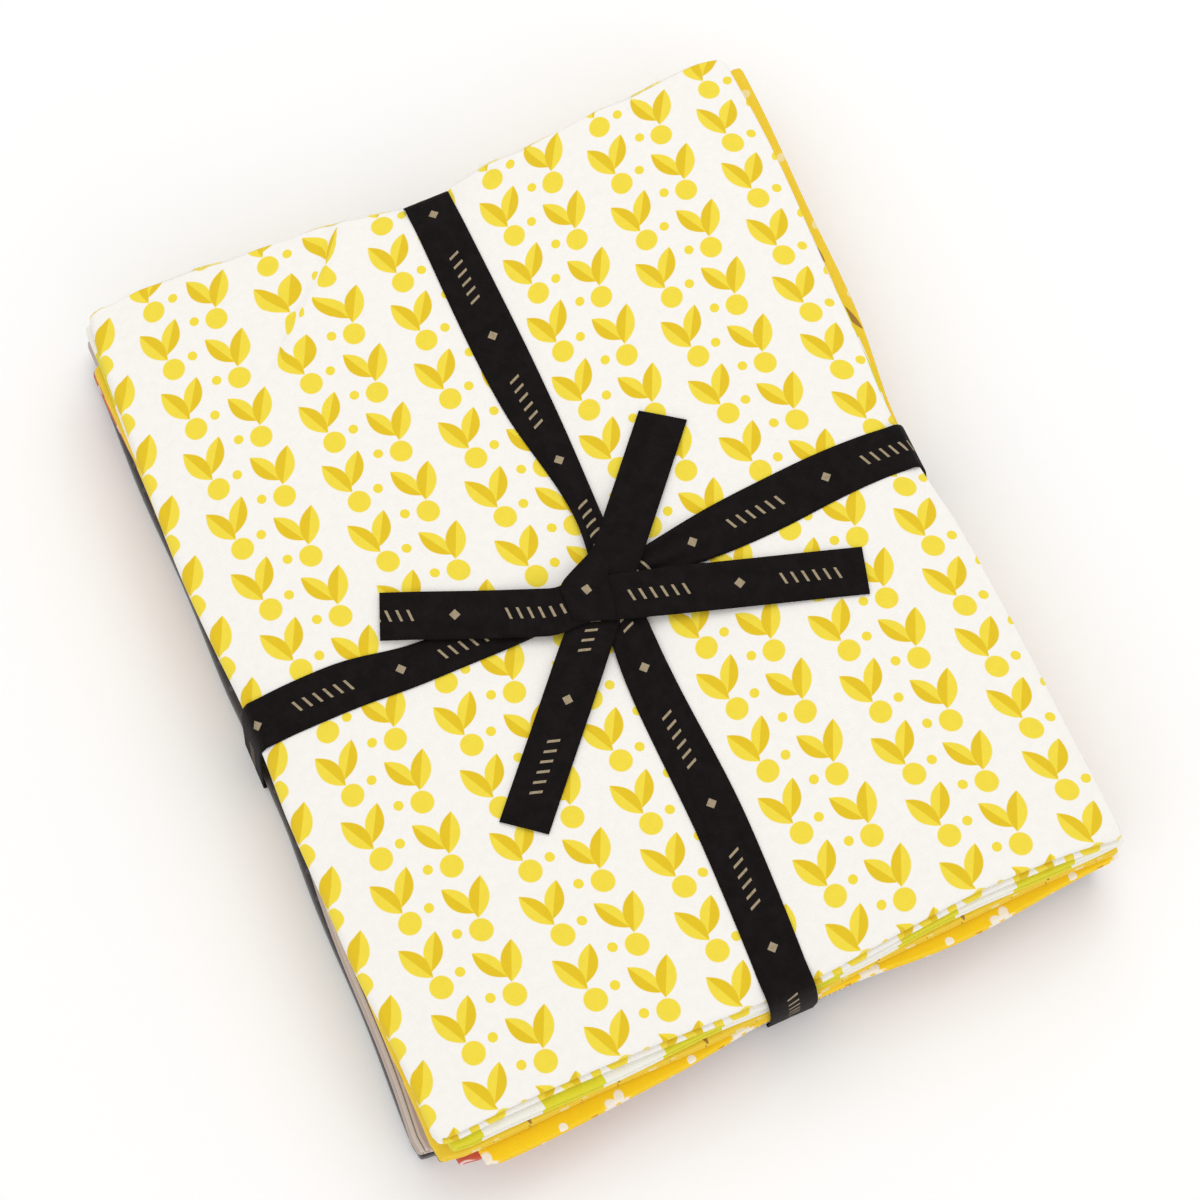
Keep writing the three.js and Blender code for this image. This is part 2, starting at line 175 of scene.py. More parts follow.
# Section of a crease in half widths: where its ridge and its sharper trough lie beside its line, how quickly
# and how far out the print is tucked, how far out all of it ends, and the share of its length where it fades.
RIDGE_AT = 0.6
TROUGH_AT = -0.7
TROUGH_SHARPNESS = 2
TUCK_SHARPNESS = 2
TUCK_REACH = 3
CREASE_REACH = 4
CREASE_FADE = 0.7

# Tape: its size, how it lies off the cloth, under the foot and at the sides, its turns at the top and foot,
# the steps of its path, and how close two points are joined as one.
TAPE_WIDTH = 15.0
KNOT_WIDTH = 14.2
TAPE_THICK = 0.5
TAPE_SEAT = -0.1
FOOT_CLEAR = 0.02
SIDE_CLEAR = 0.1
TOP_TURN = 6.0
TURN_SINK = 0.9
FOOT_TURN = 1.6
TAPE_CELLS = 12
LOOP_STEP = 5.0
TURN_LEAD = {"top": 3.0, "foot": 6.0}
WELD = 0.001

# How each tape strays from its lane on top and how wide it lies, at places along it, and the height of the
# folds that gather it into the knot.
SWAY = {
    "long": {"at": (-140, -88, -30, -5, 12, 60, 133), "by": (-1.4, 0.9, 0.2, 2.2, 4, 1.7, 0.6)},
    "cross": {"at": (-112, -94, -80, -61, -40, 0, 20, 37, 57, 79, 105),
              "by": (1.3, 1.6, 1.4, -0.8, -1.2, -1, 0, 1, 1.9, 3.3, 3.3)},
}
SPAN = {
    "long": {"at": (-140, -60, -24, -5, 12, 58, 133), "by": (15, 15, 12.8, 10, 8, 15, 15)},
    "cross": {"at": (-112, -78, -60, -20, 2, 16, 27, 37, 105), "by": (15, 15, 12.8, 12, 9, 10.5, 13, 15, 15)},
}
GATHER = {"long": 0.45, "cross": 0.8}
GATHER_REACH = 46.0

# Loops of the two tapes: the sides each goes down, its lane, where the other crosses it, how far it steps up
# over the other on top and underneath, and where its marks begin.
LOOPS = {
    "long": {"low": "near", "high": "far", "lane": LANE_X, "cross": LANE_Y,
             "top_step": 0.8, "foot_step": 0, "printed": 8},
    "cross": {"low": "left", "high": "right", "lane": LANE_Y, "cross": LANE_X,
              "top_step": 0, "foot_step": 0.56, "printed": 20},
}

# Free ends: where each starts inside the knot, its bearing in degrees, how far it bends aside at the knot,
# the skew of its cut end in degrees, the side that shows (1 printed, -1 plain), where its marks begin, and
# its height over the cloth at a reach. Along its length it widens, bows and flattens again at its end.
TAILS = {
    "up": {"start": (0, -9), "bearing": 48.5, "bend": 0, "cut": 6, "facing": -1, "printed": 0,
           "reach": (2, 14, 24, 36, 60.7), "level": (2.3, 2.2, 1.5, 0.7, 0.25)},
    "down": {"start": (0, -9), "bearing": 228.1, "bend": 0, "cut": 3.4, "facing": 1, "printed": 12,
             "reach": (-3, 14, 24, 40, 75.6), "level": (1.55, 1.5, 1.2, 0.5, 0.1)},
    "left": {"start": (0, -14.8), "bearing": 157.4, "bend": 4.4, "cut": 0.8, "facing": 1, "printed": 5,
             "reach": (3, 12, 30, 50, 69.4), "level": (3.0, 3.0, 1.9, 1.1, 0.5)},
    "right": {"start": (0, -10.5), "bearing": -17.3, "bend": 0, "cut": 1.2, "facing": 1, "printed": 9,
              "reach": (0, 12, 30, 50, 79), "level": (3.0, 3.0, 1.8, 0.9, 0.2)},
}
TAIL_STEP = 2.5
TAIL_LAST_STEP = 1.0
BEND_REACH = (3, 19)
WIDEN_REACH = (0, 24)
CUT_REACH = 12.0
TAIL_BOW = 0.35
BOW_REACH = (10, 30)
END_FLAT = 0.2
END_REACH = 20.0

# The turn of tape that binds the knot: its two edges, from under the upward end, over the crosswise ends and
# round their lower edge to the inside, its bow and where its marks begin.
WRAP = {
    "far": [(7, 9, 1.5), (1.7, 4.8, 2.3), (-5, 1.8, 3.1), (-11.5, -1.5, 3.5), (-11.4, -6.1, 3.6),
            (-11.8, -11.4, 3.5), (-12, -13.6, 3.1), (-11, -12.4, 2.5), (-8, -8, 2.4)],
    "near": [(8, -1, 1.5), (3.6, -3.6, 2.7), (2.7, -6.6, 3.5), (2.1, -10.6, 3.6), (1.3, -14.6, 3.5),
             (0.6, -17, 3.4), (0.2, -18, 3), (0.8, -16.4, 2.5), (1.5, -12, 2.4)],
}
WRAP_BOW = 0.15
WRAP_PRINTED = 34


def smooth(value, low, high):
    share = np.clip((value - low) / (high - low), 0, 1)
    return share * share * (3 - 2 * share)


def under(distance, reach):
    """1 under a tape, easing to 0 at a reach from the middle of its lane."""
    return 1 - smooth(np.abs(distance), LANE_HALF, reach)


def through(table, along):
    """Value of a table at places along it, on a smooth line through its rows."""
    at, by = np.array(table["at"], float), np.array(table["by"], float)
    slope = np.gradient(by, at)
    k = np.clip(np.searchsorted(at, along, side="right") - 1, 0, len(at) - 2)
    width = at[k + 1] - at[k]
    t = np.clip((along - at[k]) / width, 0, 1)
    start = (1 + 2 * t) * by[k] + t * width * slope[k]
    end = (3 - 2 * t) * by[k + 1] + (t - 1) * width * slope[k + 1]
    return (1 - t) ** 2 * start + t ** 2 * end


def foot_at(x, y):
    """Height of the stack's underside at a place: flat, with a groove for each tape."""
    return GROOVE * (under(x - LANE_X, GROOVE_REACH) + under(y - LANE_Y, GROOVE_REACH))


def tape_bite(x, y):
    """How far the tapes press the top of the stack in at a place."""
    from_long = np.abs(x - LANE_X - through(SWAY["long"], y))
    from_cross = np.abs(y - LANE_Y - through(SWAY["cross"], x))
    inside_long = np.minimum(DROP["near"]["out"][0] + y, DROP["far"]["out"][0] - y)
    inside_cross = np.minimum(DROP["left"]["out"][0] + x, DROP["right"]["out"][0] - x)
    bite = TAPE_BITE * (1 - smooth(np.minimum(from_long, from_cross), BITE_HALF, BITE_REACH))
    for inside, off in ((inside_long, from_long), (inside_cross, from_cross)):
        rolled = np.clip(1 - inside / ROLL_REACH, 0, ROLL_LIMIT) ** 2
        bite = bite + EDGE_ROLL * rolled * (1 - smooth(off, ROLL_HALF, 2 * BITE_REACH))
    return bite


def ripple(x, y):
    height = 0
    for row in RIPPLES:
        turn = math.radians(row["bearing"])
        along = x * math.cos(turn) + y * math.sin(turn)
        height = height + row["height"] * np.sin(2 * math.pi * along / row["length"] + row["phase"])
    return height * (1 - under(x - LANE_X, PRESS_REACH)) * (1 - under(y - LANE_Y, PRESS_REACH))


def crown_at(x, y):
    """Height of the stack's top at a place."""
    def droop(inside, depth):
        return depth * (1 - smooth(inside, 0, DROOP_REACH))

    pressed = TOP_PRESS * (under(x - LANE_X, PRESS_REACH) + under(y - LANE_Y, PRESS_REACH))
    raw = droop(FOLD_WIDTH / 2 - x, RAW_EDGE_DROOP) + droop(FOLD_LENGTH / 2 - y, RAW_EDGE_DROOP)
    folded = droop(FOLD_WIDTH / 2 + x, FOLD_EDGE_DROOP) + droop(FOLD_LENGTH / 2 + y, FOLD_EDGE_DROOP)
    return LOOSE_HEIGHT - pressed - raw - folded - tape_bite(x, y) + ripple(x, y)


def edge_at(side, row, index, along):
    """Where an edge of a quarter lies at places along it."""
    half, length, lane = FOLD_WIDTH / 2, FOLD_LENGTH, LANE_Y
    if side in ("near", "far"):
        half, length, lane = FOLD_LENGTH / 2, FOLD_WIDTH, LANE_X
    sign = -1 if side in ("left", "near") else 1
    from_corner = length / 2 - np.abs(along)
    inset = CORNER_INSET * np.clip(1 - from_corner / CORNER_RADIUS, 0, 1) ** 2
    if "edges" in row:
        return sign * (through(row["edges"][side], along) - inset)
    low, high = lane - LANE_HALF, lane + LANE_HALF
    low_end, low_third, middle, high_third, high_end = row[side]
    table = {
        "at": (-length / 2, (2 * low - length / 2) / 3, low, high, (2 * high + length / 2) / 3, length / 2),
        "by": (low_end, low_third, middle, middle, high_third, high_end),
    }
    wave = EDGE_WAVE * np.sin(2 * math.pi * along / WAVE_LENGTH + index * index)
    return sign * (half + through(table, along) + wave * (1 - under(along - lane, GROOVE_REACH)) - inset)


def folded_stations(half, first_turn, shown_step, turn_steps):
    """Places along one side of the cut, from a raw edge to the fold at -half, round it, and back."""
    def inward(step):
        rim = half - RAW_EDGE_STEPS
        count = max(2, round((rim[-1] + half) / step))
        return np.concatenate([rim, np.linspace(rim[-1], -half, count + 1)[1:]])

    last_turn = 1 - first_turn
    hidden, shown = inward(HIDDEN_STEP), inward(shown_step)[::-1]
    bend = np.linspace(first_turn, last_turn, turn_steps + 1)[1:-1]
    place = np.concatenate([hidden, np.full(len(bend), -half), shown])
    turn = np.concatenate([np.full(len(hidden), first_turn), bend, np.full(len(shown), last_turn)])
    part = np.concatenate([np.zeros(len(hidden)), np.full(len(bend), 1), np.full(len(shown), 2)])
    return place, turn, part


def crease_at(row, x, y):
    """Height of a crease at a place, and how far the print is tucked away there."""
    px, py = np.array(row["x"], float), np.array(row["y"], float)
    best = np.full(x.shape, np.inf)
    side = np.zeros(x.shape)
    along = np.zeros(x.shape)
    for k in range(len(px) - 1):
        dx, dy = px[k + 1] - px[k], py[k + 1] - py[k]
        share = np.clip(((x - px[k]) * dx + (y - py[k]) * dy) / (dx * dx + dy * dy), 0, 1)
        off_x, off_y = x - px[k] - share * dx, y - py[k] - share * dy
        gap = np.hypot(off_x, off_y)
        closer = gap < best
        best = np.where(closer, gap, best)
        side = np.where(closer, np.sign(dx * off_y - dy * off_x), side)
        along = np.where(closer, (k + share) / (len(px) - 1), along)
    signed = side * best / row["half"]
    fade = smooth(along, 1.0, CREASE_FADE) * np.exp(-np.clip(best - CREASE_REACH * row["half"], 0, None))
    ridge = row["ridge"] * np.exp(-((signed - RIDGE_AT) ** 2))
    trough = row["trough"] * np.exp(-((signed - TROUGH_AT) ** 2) * TROUGH_SHARPNESS)
    tuck = row["tuck"] * np.tanh(signed * TUCK_SHARPNESS) * np.exp(-((signed / TUCK_REACH) ** 2))
    return (ridge - trough) * fade, tuck * fade


def fold_quarter(row, index, across, along):
    """Points of a folded quarter and the place of each on its flat cut."""
    def drawn(square, edge, half, side, sign):
        """How far the cloth shifts beside an edge, so that the edge lies where it should."""
        reach = EDGE_REACH[side]
        return (edge - sign * half) * np.clip((sign * square - half + reach) / reach, 0, 1)

    def unrolled(part, turn, place, fold, bend):
        """Place along the flat cut, measured from the middle of the fold."""
        before, after = fold - place - bend / 2, place - fold + bend / 2
        return np.select([part == 0, part == 1], [before, turn * bend], after)

    x_square, a_turn, a_part = (grid[:, None] + 0 * along[0][None, :] for grid in across)
    y_square, b_turn, b_part = (0 * across[0][:, None] + grid[None, :] for grid in along)
    half_x, half_y = FOLD_WIDTH / 2, FOLD_LENGTH / 2

    left = edge_at("left", row, index, y_square) + PIECE_HEIGHT / 2
    right = edge_at("right", row, index, y_square) + RIGHT_STAGGER * (1 - a_turn)
    near = edge_at("near", row, index, x_square) + (LAYER_PITCH + SOLID_SHEET) / 2 - row["rim"] * (1 - a_turn)
    long_fray = np.sin(x_square / FRAY_LONG + FRAY_LAYER_SHIFT * b_turn)
    short_fray = FRAY_SHORT_SHARE * np.sin(x_square / FRAY_SHORT + index)
    far = edge_at("far", row, index, x_square) + FRAY * (long_fray + short_fray) + FAR_STAGGER * b_turn
    x = x_square + drawn(x_square, left, half_x, "left", -1) + drawn(x_square, right, half_x, "right", 1)
    y = y_square + drawn(y_square, near, half_y, "near", -1) + drawn(y_square, far, half_y, "far", 1)

    inner = LAYER_PITCH / 2
    outer = LAYER_PITCH + inner * np.cos(math.pi * b_turn)
    flat_u = unrolled(a_part, a_turn - 0.5, x, left, math.pi * LAYER_PITCH)
    flat_v = unrolled(b_part, 0.5 - b_turn, y, near, math.pi * inner)
    x = x - outer * np.sin(math.pi * a_turn)
    y = y - inner * np.sin(math.pi * b_turn)
    level = index * PIECE_PITCH + PIECE_HEIGHT / 2 - outer * np.cos(math.pi * a_turn)
    foot = foot_at(x, y)
    z = foot + (crown_at(x, y) - foot) * level / TIGHT_HEIGHT
    if "edges" in row:
        share = np.clip((level - index * PIECE_PITCH) / PIECE_HEIGHT, 0, 1)
        for crease in CREASES:
            height, tuck = crease_at(crease, x, y)
            z = z + height * share
            flat_u = flat_u + tuck * (a_part == 2)
    points = np.stack([x, y, z], axis=-1)
    flat = np.stack([flat_u * MM + FLAT_CUT[0] / 2, flat_v * MM + FLAT_CUT[1] / 2], axis=-1)
    return points, flat


def add_grid(bm, points, flat):
    """A grid laid over rows and columns of points, with its flat place as its map."""
    rows, columns = points.shape[0] - 1, points.shape[1] - 1
    made = bmesh.ops.create_grid(bm, x_segments=rows, y_segments=columns, size=0.5)["verts"]
    chart = bm.loops.layers.uv.verify()
    places = (points + BUNDLE_SHIFT) * MM
    faces = set()
    cell = {}
    for vert in made:
        i, j = round((vert.co.x + 0.5) * rows), round((vert.co.y + 0.5) * columns)
        cell[vert] = (i, j)
        vert.co = places[i, j]
        faces.update(vert.link_faces)
    for face in faces:
        face.smooth = True
        for loop in face.loops:
            loop[chart].uv = flat[cell[loop.vert]]


def add_object(name, bm, materials):
    """An object made of a bmesh, which is used up."""
    mesh = bpy.data.meshes.new(name)
    bm.to_mesh(mesh)
    bm.free()
    for material in materials:
        mesh.materials.append(material)
    piece = bpy.data.objects.new(name, mesh)
    bpy.context.scene.collection.objects.link(piece)
    return piece


def add_sheet(name, bm, thick, face, wrong):
    """A sheet with its thickness: one material on its face, another on its wrong side and its rim."""
    piece = add_object(name, bm, [face, wrong])
    wall = piece.modifiers.new("thickness", "SOLIDIFY")
    wall.thickness = thick * MM
    wall.offset = 0
    wall.material_offset = 1
    wall.material_offset_rim = 1
    return piece


def rounded(path, times):
    """A path with its corners cut round, its two ends kept."""
    for _ in range(times):
        start, end = path[:-1], path[1:]
        cut = np.stack([0.75 * start + 0.25 * end, 0.25 * start + 0.75 * end], axis=1)
        path = np.concatenate([path[:1], cut.reshape(-1, path.shape[1]), path[-1:]])
    return path


def add_run(bm, right, left, bow, pleat, printed, facing):
    """One run of tape between its two edges. Facing 1 has the printed side out, -1 the plain side."""
    share = np.linspace(0, 1, TAPE_CELLS + 1)
    middle = (right + left) / 2
    steps = np.linalg.norm(np.diff(middle, axis=0), axis=1)
    length = np.concatenate([[0], np.cumsum(steps)])
    out = np.cross(np.gradient(middle, axis=0), left - right)
    out /= np.linalg.norm(out, axis=1)[:, None]
    bowed = bow[:, None] * (1 - (2 * share - 1) ** 2)
    pleated = 2 * pleat[:, None] * np.abs(np.cos(2 * math.pi * share))
    points = right[:, None] + (left - right)[:, None] * share[None, :, None]
    points = points + out[:, None] * (bowed + pleated)[..., None]
    width = np.linalg.norm(left - right, axis=1)
    flat_u = (printed + length)[:, None] + 0 * share
    flat_v = width[:, None] * (share - 0.5) + TAPE_WIDTH / 2
    flat = np.stack([flat_u, flat_v], axis=-1) * MM
    if facing < 0:
        points, flat = points[:, ::-1], flat[:, ::-1]
    add_grid(bm, points, flat)
    return length[-1]


def tape_height(x, y):
    return crown_at(x, y) + TAPE_SEAT + TAPE_THICK / 2


def add_loop(bm, tape):
    """The loop of a tape from the knot over its high side, underneath and back over its low side."""
    row = LOOPS[tape]
    lane, cross = row["lane"], row["cross"]
    half = TAPE_THICK / 2

    def place(along, aside):
        return (aside, along) if tape == "long" else (along, aside)

    def on_top(along):
        aside = lane + through(SWAY[tape], along)
        z = tape_height(*place(along, aside)) + row["top_step"] * under(along - cross, GROOVE_REACH)
        return [along, aside, z, through(SPAN[tape], along)]

    def in_foot(along):
        z = half + FOOT_CLEAR + row["foot_step"] * under(along - cross, GROOVE_REACH)
        return [along, lane, z, TAPE_WIDTH]

    def down_side(side, sign):
        rise, out = DROP[side]["rise"], DROP[side]["out"]
        top = on_top(sign * (out[0] - TOP_TURN))
        foot = in_foot(sign * (out[-1] + half + SIDE_CLEAR))
        points = [top]
        for share, reach in zip(rise[:-1], out[:-1]):
            z = foot[2] + (top[2] - foot[2]) * share - (TURN_SINK if share == 1 else 0)
            aside = lane + (top[1] - lane) * share
            points.append([sign * (reach + half + SIDE_CLEAR), aside, z, TAPE_WIDTH])
        above = [foot[0], lane, foot[2] + FOOT_TURN, TAPE_WIDTH]
        return points + [above, foot, in_foot(sign * (out[-1] - FOOT_TURN))]

    def spaced(begin, end):
        return np.linspace(begin, end, max(3, round(abs(end - begin) / LOOP_STEP)))

    high, low = DROP[row["high"]]["out"], DROP[row["low"]]["out"]
    top_lead, foot_lead = TOP_TURN + TURN_LEAD["top"], TURN_LEAD["foot"]
    path = [on_top(along) for along in spaced(cross, high[0] - top_lead)]
    path += down_side(row["high"], 1)
    path += [in_foot(along) for along in spaced(high[-1] - foot_lead, foot_lead - low[-1])]
    path += down_side(row["low"], -1)[::-1]
    path += [on_top(along) for along in spaced(top_lead - low[0], cross)]
    path = rounded(np.array(path), times=2)
    middle = np.stack([*place(path[:, 0], path[:, 1]), path[:, 2]], axis=-1)
    across = np.array([1.0, 0, 0] if tape == "long" else [0, -1.0, 0])
    reach = across * path[:, 3:4] / 2
    gathered = GATHER[tape] * (path[:, 2] > LOOSE_HEIGHT / 2) * under(path[:, 0] - cross, GATHER_REACH)
    return add_run(bm, middle + reach, middle - reach, 0 * gathered, gathered, row["printed"], 1)


def add_tail(bm, tail):
    """One free end, from the knot to its cut end."""
    first, last = tail["reach"][0], tail["reach"][-1]
    reach = np.append(np.arange(first, last - TAIL_LAST_STEP, TAIL_STEP), last)
    turn = math.radians(tail["bearing"])
    ahead = np.array([math.cos(turn), math.sin(turn), 0])
    right = np.array([ahead[1], -ahead[0], 0])
    level = np.interp(reach, tail["reach"], tail["level"])
    aside = tail["bend"] * (1 - smooth(reach, *BEND_REACH))
    x, y = (tail["start"][k] + reach * ahead[k] + aside * right[k] for k in (0, 1))
    width = KNOT_WIDTH + (TAPE_WIDTH - KNOT_WIDTH) * smooth(reach, *WIDEN_REACH)
    path = rounded(np.stack([x, y, tape_height(x, y) + level, width], axis=-1), times=1)
    along = (path[:, :2] - tail["start"]) @ ahead[:2]
    skew = math.tan(math.radians(tail["cut"])) * smooth(along, last - CUT_REACH, last)
    side = path[:, 3:4] / 2 * (right + skew[:, None] * ahead)
    bow = TAIL_BOW * smooth(along, *BOW_REACH) - END_FLAT * smooth(along, last - END_REACH, last)
    middle = path[:, :3]
    return add_run(bm, middle + side, middle - side, bow, 0 * bow, tail["printed"], tail["facing"])


def add_wrap(bm):
    """The turn that binds the knot."""
    edges = {}
    for side, points in WRAP.items():
        edge = np.array(points, float)
        edge[:, 2] += tape_height(edge[:, 0], edge[:, 1]).min()
        edges[side] = rounded(edge, times=3)
    bow = np.full(len(edges["near"]), WRAP_BOW)
    return add_run(bm, edges["far"], edges["near"], bow, 0 * bow, WRAP_PRINTED, 1)


# Motifs of the prints, in millimetres on the flat cloth: the repeat, whose every second column is dropped by
# half, and in it each motif's place, turn in degrees, half size and ink. A leaf may have a second ink on one
# side of its vein. Mirrored prints face the other way in the dropped columns.
SPRIGS = {
    "repeat": (19.0, 21.0), "mirrored": True,
    "leaves": [{"at": (-3.0, 3.2), "turn": 26, "size": (3.0, 6.4), "ink": 0, "half_ink": 1},
               {"at": (3.2, 4.4), "turn": -30, "size": (2.8, 6.0), "ink": 0, "half_ink": 1}],
    "spots": [{"at": (0.6, -6.2), "radius": 3.5, "ink": 0}, {"at": (7.4, -4.4), "radius": 1.5, "ink": 0}],
}
BLOSSOMS = {
    "repeat": (21.0, 24.0),
    "leaves": [{"at": (7.0, 0.5), "turn": 35, "size": (2.0, 4.6), "ink": 1}],
    "flowers": [{"at": (-2.5, 3.0), "radius": 4.6, "ink": 0}],
    "spots": [{"at": (1.0, -7.0), "radius": 1.3, "ink": 0}],
}
REEDS = {
    "repeat": (14.0, 26.0),
    "leaves": [{"at": (0, 0), "turn": 12, "size": (1.1, 7.0), "ink": 0}],
    "spots": [{"at": (4.2, 6.0), "radius": 1.5, "ink": 1}],
}
PEBBLES = {
    "repeat": (12.0, 15.0),
    "leaves": [{"at": (0, 0), "turn": 58, "size": (2.6, 5.4), "ink": 0, "half_ink": 1}],
}
SPOTS = {"repeat": (9.0, 9.0), "spots": [{"at": (0, 0), "radius": 1.2, "ink": 0}]}

# Checked blocks, and stripes that are wide and thin by turns.
BLOCKS = {"side": 19.0, "ink": 0}
STRIPES = {"repeat": 3.4, "bars": [{"at": 0.9, "half": 0.7, "ink": 0}, {"at": 2.6, "half": 0.2, "ink": 1}]}

# Softness of the printed edges and the open heart of a flower, as shares of a motif's half size.
SPOT_EDGE = 0.05
LEAF_EDGE = 0.06
VEIN_EDGE = 0.04
PETAL_EDGE = 0.08
PETALS = 5
HEART = (0.2, 0.26)

# Cotton: its threads, 0.4 mm apart but drawn as fine as the picture can show; its uneven spinning, with the
# shade and relief that it gives; and the roughness in the hollows and on the threads.
THREAD_PITCH = 1.1
SLUB = {"Scale": 0.35, "Detail": 3.0, "Roughness": 0.6}
SLUB_RANGE = (0.3, 0.7)
SLUB_SHADE = (0.965, 1.0)
SLUB_RELIEF = 0.8
COTTON_BUMP = {"Strength": 0.25, "Distance": 0.0001}
COTTON_ROUGH = (0.92, 0.84)
COTTON_SURFACE = {"IOR": 1.5, "Specular IOR Level": 0.25, "Sheen Roughness": 0.6}

# Looks of the cottons, how much paler their wrong side is, and the soft sheen of all but the black one.
UNBLEACHED = (244, 240, 232)
WRONG_SIDE = 0.45
COTTON_SHEEN = 0.12
COTTONS = {
    "dots": {"ground": "#f7f4ef", "inks": ("#f3dc40", "#e6c41a"), "motifs": SPRIGS},
    "citron": {"ground": "#f6f4ea", "inks": ("#e3da2c",), "blocks": BLOCKS},
    "mustard": {"ground": "#f5d036", "inks": ("#a67c34", "#f4e2a4"), "motifs": REEDS},
    "gold": {"ground": "#ffd414", "inks": ("#fbf3e6", "#e0a512"), "motifs": BLOSSOMS},
    "coral": {"ground": "#d2604a", "inks": ("#e9b9b4", "#f0d3cc"), "motifs": PEBBLES},
    "cream": {"ground": "#d6ccc3", "inks": ("#bfaea4", "#857d77"), "stripes": STRIPES},
    "black": {"ground": "#332f31", "inks": ("#514d50",), "motifs": SPOTS, "sheen": 0.6},
}

# Tape: its ribs, 0.5 mm apart but drawn further apart so that they show; its fine fibres; its broad mottle,
# lighter and darker at random, partly its own uneven tone and partly painted sheen; and its printed marks,
# groups of slanted bars between diamonds, rubbed a little where the fibres lie low.
RIB_PITCH = 1.2
FIBRE = {"Scale": 0.9, "Detail": 3.0, "Roughness": 0.6}
FIBRE_RANGE = (0.2, 0.8)
FIBRE_RELIEF = 1.2
MOTTLE_AND_SHEEN = {"Scale": 0.22, "Detail": 4.0, "Roughness": 0.65}
MOTTLE_AND_SHEEN_RANGE = (0.35, 0.65)
TAPE_TONES = ("#0d0909", "#181112")
TAPE_BUMP = {"Strength": 0.3, "Distance": 0.0001}
TAPE_ROUGH = (0.72, 0.86)
TAPE_SURFACE = {"IOR": 1.5, "Specular IOR Level": 0.1, "Sheen Weight": 0.02, "Sheen Roughness": 0.5}
MARK_REPEAT = 46.0
MARK_INK = "#a39479"
RUB_RANGE = (0.25, 0.5)
RUBBED_INK = 0.65
BAR = {"pitch": 3.3, "width": 0.85, "half_length": 1.75, "slant": 0.45}
BAR_GROUP = {"at": 25.0, "half": 10.8}
DIAMOND = {"at": 3.6, "half": 1.7}


def hex_values(code):
    return [int(code[k:k + 2], 16) for k in (1, 3, 5)]


def linear(code):
    """A colour given as sRGB hex, as linear values."""
    values = [value / 255 for value in hex_values(code)]
    return [v / 12.92 if v <= 0.04045 else ((v + 0.055) / 1.055) ** 2.4 for v in values] + [1.0]


def paler(code, share):
    """A hex colour mixed with unbleached white, as print looks from the wrong side."""
    mixed = [round(v + (w - v) * share) for v, w in zip(hex_values(code), UNBLEACHED)]
    return "#" + "".join(f"{value:02x}" for value in mixed)


def add(tree, kind, sockets=(), **settings):
    """Adds a node with its settings, and gives each socket, by name or number, a value or a link. Returns its
    outputs."""
    node = tree.nodes.new("ShaderNode" + kind)
    for name, value in settings.items():
        setattr(node, name, value)
    for socket, value in dict(sockets).items():
        if isinstance(value, bpy.types.NodeSocket):
            tree.links.new(value, node.inputs[socket])
        else:
            node.inputs[socket].default_value = value
    return node.outputs


def half_drop(tree, place, wide, tall):
    """The place inside a cell of a repeat whose every second column is dropped by half, and 1 in those."""
    u, v, _ = add(tree, "SeparateXYZ", {0: place})
    column = add(tree, "Math", {0: u, 1: wide}, operation="SNAP")[0]
    inside_u = add(tree, "Math", {0: u, 1: column}, operation="SUBTRACT")[0]
    x = add(tree, "Math", {0: inside_u, 1: wide / 2}, operation="SUBTRACT")[0]
    number = add(tree, "Math", {0: column, 1: wide}, operation="DIVIDE")[0]
    dropped = add(tree, "Math", {0: number, 1: 1.0}, operation="PINGPONG")[0]
    fallen = add(tree, "Math", {0: dropped, 1: tall / 2, 2: v}, operation="MULTIPLY_ADD")[0]
    row = add(tree, "Math", {0: fallen, 1: tall}, operation="SNAP")[0]
    inside_v = add(tree, "Math", {0: fallen, 1: row}, operation="SUBTRACT")[0]
    y = add(tree, "Math", {0: inside_v, 1: tall / 2}, operation="SUBTRACT")[0]
    return add(tree, "CombineXYZ", {0: x, 1: y})[0], dropped


def moved(tree, cell, at, turn, size):
    """The place in a cell measured from a motif's middle, in the motif's own turn and half sizes."""
    sockets = {0: cell, 1: (*at, 0), 2: (0, 0, math.radians(turn)), 3: (*size, 1)}
    return add(tree, "Mapping", sockets, vector_type="TEXTURE")[0]


def inside(tree, value, soft):
    """1 where a motif's measure is under 1, with a soft printed edge."""
    return add(tree, "MapRange", enumerate((value, 1 + soft, 1 - soft, 0.0, 1.0)))[0]


def spot(tree, cell, at, radius):
    away = add(tree, "VectorMath", {0: moved(tree, cell, at, 0, (radius, radius))}, operation="LENGTH")[1]
    return inside(tree, away, SPOT_EDGE)


def leaf(tree, cell, at, turn, size):
    """A pointed leaf, and its half on one side of the vein."""
    x, y, _ = add(tree, "SeparateXYZ", {0: moved(tree, cell, at, turn, size)})
    wide = add(tree, "Math", {0: x}, operation="ABSOLUTE")[0]
    measure = add(tree, "Math", {0: y, 1: y, 2: wide}, operation="MULTIPLY_ADD")[0]
    shape = inside(tree, measure, LEAF_EDGE)
    side = add(tree, "MapRange", enumerate((x, -VEIN_EDGE, VEIN_EDGE, 0.0, 1.0)))[0]
    return shape, add(tree, "Math", {0: shape, 1: side}, operation="MULTIPLY")[0]


